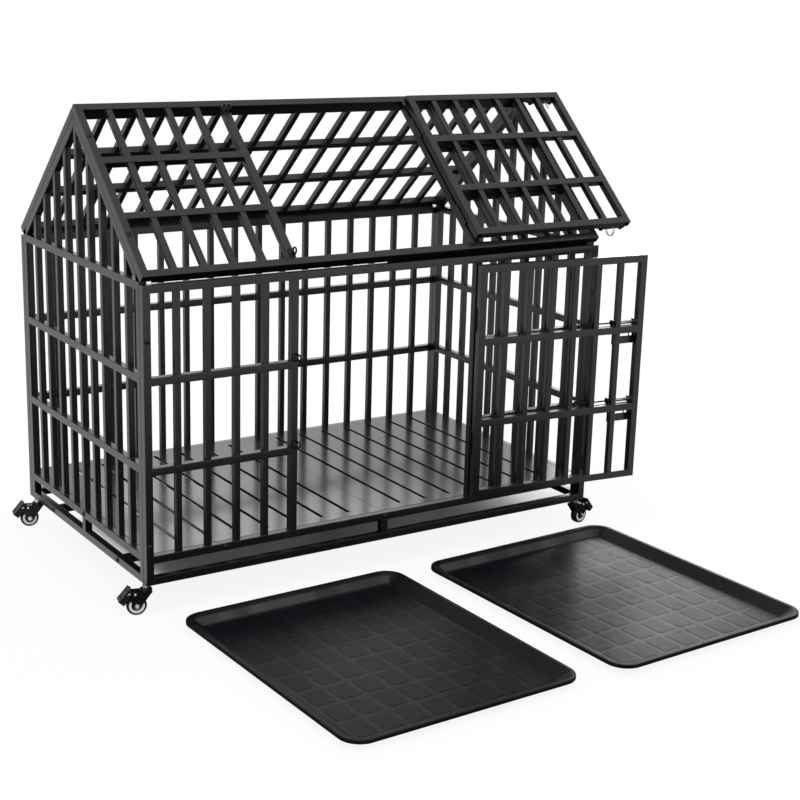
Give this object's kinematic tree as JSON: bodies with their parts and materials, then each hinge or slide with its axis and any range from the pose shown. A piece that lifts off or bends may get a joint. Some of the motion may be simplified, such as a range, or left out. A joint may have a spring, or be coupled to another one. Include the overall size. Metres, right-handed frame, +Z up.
{
  "type": "heavy duty dog crate",
  "caption": "Gabled dog crate of welded square tube grilles on braked swivel casters, with a swinging door, a folding roof hatch, slide bolts, a slotted floor and lift-out trays.",
  "frame": {"origin": "on the ground, under the middle of the crate", "axes": "+X to the right along the front, +Y from front to back, +Z up"},
  "size_m": [1.5411, 1.6447, 1.2141],
  "materials": {
    "powder_coat": "satin black powder coat",
    "floor_sheet": "smooth semi-gloss black coat",
    "black_fastener": "black zinc",
    "zinc_steel": "bright zinc plate",
    "fork_black": "gloss black",
    "tyre_rubber": "matt",
    "hub_plastic": "matt cream",
    "pedal_plastic": "matt dark grey",
    "tray_plastic": "semi-gloss moulded black"
  },
  "bodies": {
    "crate": {"front_frame": "powder_coat", "front_grille_left": "powder_coat", "front_grille_right": "powder_coat", "back_panel": "powder_coat", "left_end_panel": "powder_coat", "right_end_panel": "powder_coat", "roof_front_frame": "powder_coat", "roof_front_grille_left": "powder_coat", "roof_front_grille_right": "powder_coat", "roof_back_panel": "powder_coat", "floor_panel_left": "floor_sheet", "floor_panel_right": "floor_sheet", "floor_bearers": "powder_coat", "tray_beams": "powder_coat", "door_catches": "powder_coat", "hatch_catches": "powder_coat", "door_hinge_leaves": "powder_coat", "hatch_hinge_leaves": "powder_coat", "hinge_pins": "zinc_steel", "panel_bolts": "black_fastener", "caster_stems": "zinc_steel"},
    "door_leaf": {"door": "powder_coat", "door_hinge_knuckles": "powder_coat", "door_lock_plates": "powder_coat", "door_bolt_guides": "powder_coat"},
    "hatch_leaf": {"hatch": "powder_coat", "hatch_hinge_knuckles": "powder_coat", "hatch_bolt_guides": "powder_coat"},
    "upper_door_bolt": {"door_bolt_upper": "zinc_steel"},
    "lower_door_bolt": {"door_bolt_lower": "zinc_steel"},
    "upper_hatch_bolt": {"hatch_bolt_upper": "zinc_steel", "hatch_rings_upper": "zinc_steel"},
    "lower_hatch_bolt": {"hatch_bolt_lower": "zinc_steel", "hatch_rings_lower": "zinc_steel"},
    "left_tray": {"tray_left": "tray_plastic"},
    "right_tray": {"tray_right": "tray_plastic"},
    "caster_fl": {"fork_fl": "fork_black", "axle_fl": "zinc_steel"},
    "wheel_fl": {"tyre_fl": "tyre_rubber", "hub_fl": "hub_plastic"},
    "brake_fl": {"pedal_fl": "pedal_plastic"},
    "caster_fr": {"fork_fr": "fork_black", "axle_fr": "zinc_steel"},
    "wheel_fr": {"tyre_fr": "tyre_rubber", "hub_fr": "hub_plastic"},
    "brake_fr": {"pedal_fr": "pedal_plastic"},
    "caster_bl": {"fork_bl": "fork_black", "axle_bl": "zinc_steel"},
    "wheel_bl": {"tyre_bl": "tyre_rubber", "hub_bl": "hub_plastic"},
    "brake_bl": {"pedal_bl": "pedal_plastic"},
    "caster_br": {"fork_br": "fork_black", "axle_br": "zinc_steel"},
    "wheel_br": {"tyre_br": "tyre_rubber", "hub_br": "hub_plastic"},
    "brake_br": {"pedal_br": "pedal_plastic"}
  },
  "joints": [
    {"name": "door_swing", "type": "hinge", "parent": "crate", "child": "door_leaf", "pos_m": [0.266, -0.4008, 0.482], "axis": [0, 0, 1], "range_deg": [-173.6, 4]},
    {"name": "hatch_swing", "type": "hinge", "parent": "crate", "child": "hatch_leaf", "pos_m": [0.266, -0.20592, 1.02691], "axis": [0, 0.7385, 0.6743], "range_deg": [-180, 0]},
    {"name": "upper_door_bolt_slide", "type": "slide", "parent": "door_leaf", "child": "upper_door_bolt", "axis": [0.9938, -0.1115, 0], "range_m": [0, 0.03]},
    {"name": "lower_door_bolt_slide", "type": "slide", "parent": "door_leaf", "child": "lower_door_bolt", "axis": [0.9938, -0.1115, 0], "range_m": [0, 0.03]},
    {"name": "upper_hatch_bolt_slide", "type": "slide", "parent": "hatch_leaf", "child": "upper_hatch_bolt", "axis": [1, 0, 0], "range_m": [0, 0.03]},
    {"name": "lower_hatch_bolt_slide", "type": "slide", "parent": "hatch_leaf", "child": "lower_hatch_bolt", "axis": [1, 0, 0], "range_m": [0, 0.03]},
    {"name": "left_tray_lift", "type": "slide", "parent": "crate", "child": "left_tray", "axis": [0, 0, 1], "range_m": [0, 0.1025]},
    {"name": "right_tray_lift", "type": "slide", "parent": "crate", "child": "right_tray", "axis": [0, 0, 1], "range_m": [0, 0.1025]},
    {"name": "swivel_fl", "type": "hinge", "parent": "crate", "child": "caster_fl", "pos_m": [-0.675, -0.3665, 0.07], "axis": [0, 0, 1], "continuous": true},
    {"name": "roll_fl", "type": "hinge", "parent": "caster_fl", "child": "wheel_fl", "pos_m": [-0.69818, -0.36029, 0.0255], "axis": [-0.2588, -0.9659, 0], "continuous": true},
    {"name": "brake_fl_pedal", "type": "hinge", "parent": "caster_fl", "child": "brake_fl", "pos_m": [-0.71586, -0.35555, 0.0588], "axis": [0.2588, 0.9659, 0], "range_deg": [0, 20]},
    {"name": "swivel_fr", "type": "hinge", "parent": "crate", "child": "caster_fr", "pos_m": [0.675, -0.3665, 0.07], "axis": [0, 0, 1], "continuous": true},
    {"name": "roll_fr", "type": "hinge", "parent": "caster_fr", "child": "wheel_fr", "pos_m": [0.69856, -0.36192, 0.0255], "axis": [-0.1908, 0.9816, 0], "continuous": true},
    {"name": "brake_fr_pedal", "type": "hinge", "parent": "caster_fr", "child": "brake_fr", "pos_m": [0.71652, -0.35843, 0.0588], "axis": [0.1908, -0.9816, 0], "range_deg": [0, 20]},
    {"name": "swivel_bl", "type": "hinge", "parent": "crate", "child": "caster_bl", "pos_m": [-0.675, 0.3665, 0.07], "axis": [0, 0, 1], "continuous": true},
    {"name": "roll_bl", "type": "hinge", "parent": "caster_bl", "child": "wheel_bl", "pos_m": [-0.69848, 0.37149, 0.0255], "axis": [-0.2079, -0.9781, 0], "continuous": true},
    {"name": "brake_bl_pedal", "type": "hinge", "parent": "caster_bl", "child": "brake_bl", "pos_m": [-0.71638, 0.37529, 0.0588], "axis": [0.2079, 0.9781, 0], "range_deg": [0, 20]},
    {"name": "swivel_br", "type": "hinge", "parent": "crate", "child": "caster_br", "pos_m": [0.675, 0.3665, 0.07], "axis": [0, 0, 1], "continuous": true},
    {"name": "roll_br", "type": "hinge", "parent": "caster_br", "child": "wheel_br", "pos_m": [0.69877, 0.36984, 0.0255], "axis": [-0.1392, 0.9903, 0], "continuous": true},
    {"name": "brake_br_pedal", "type": "hinge", "parent": "caster_br", "child": "brake_br", "pos_m": [0.71689, 0.37239, 0.0588], "axis": [0.1392, -0.9903, 0], "range_deg": [0, 20]}
  ]
}
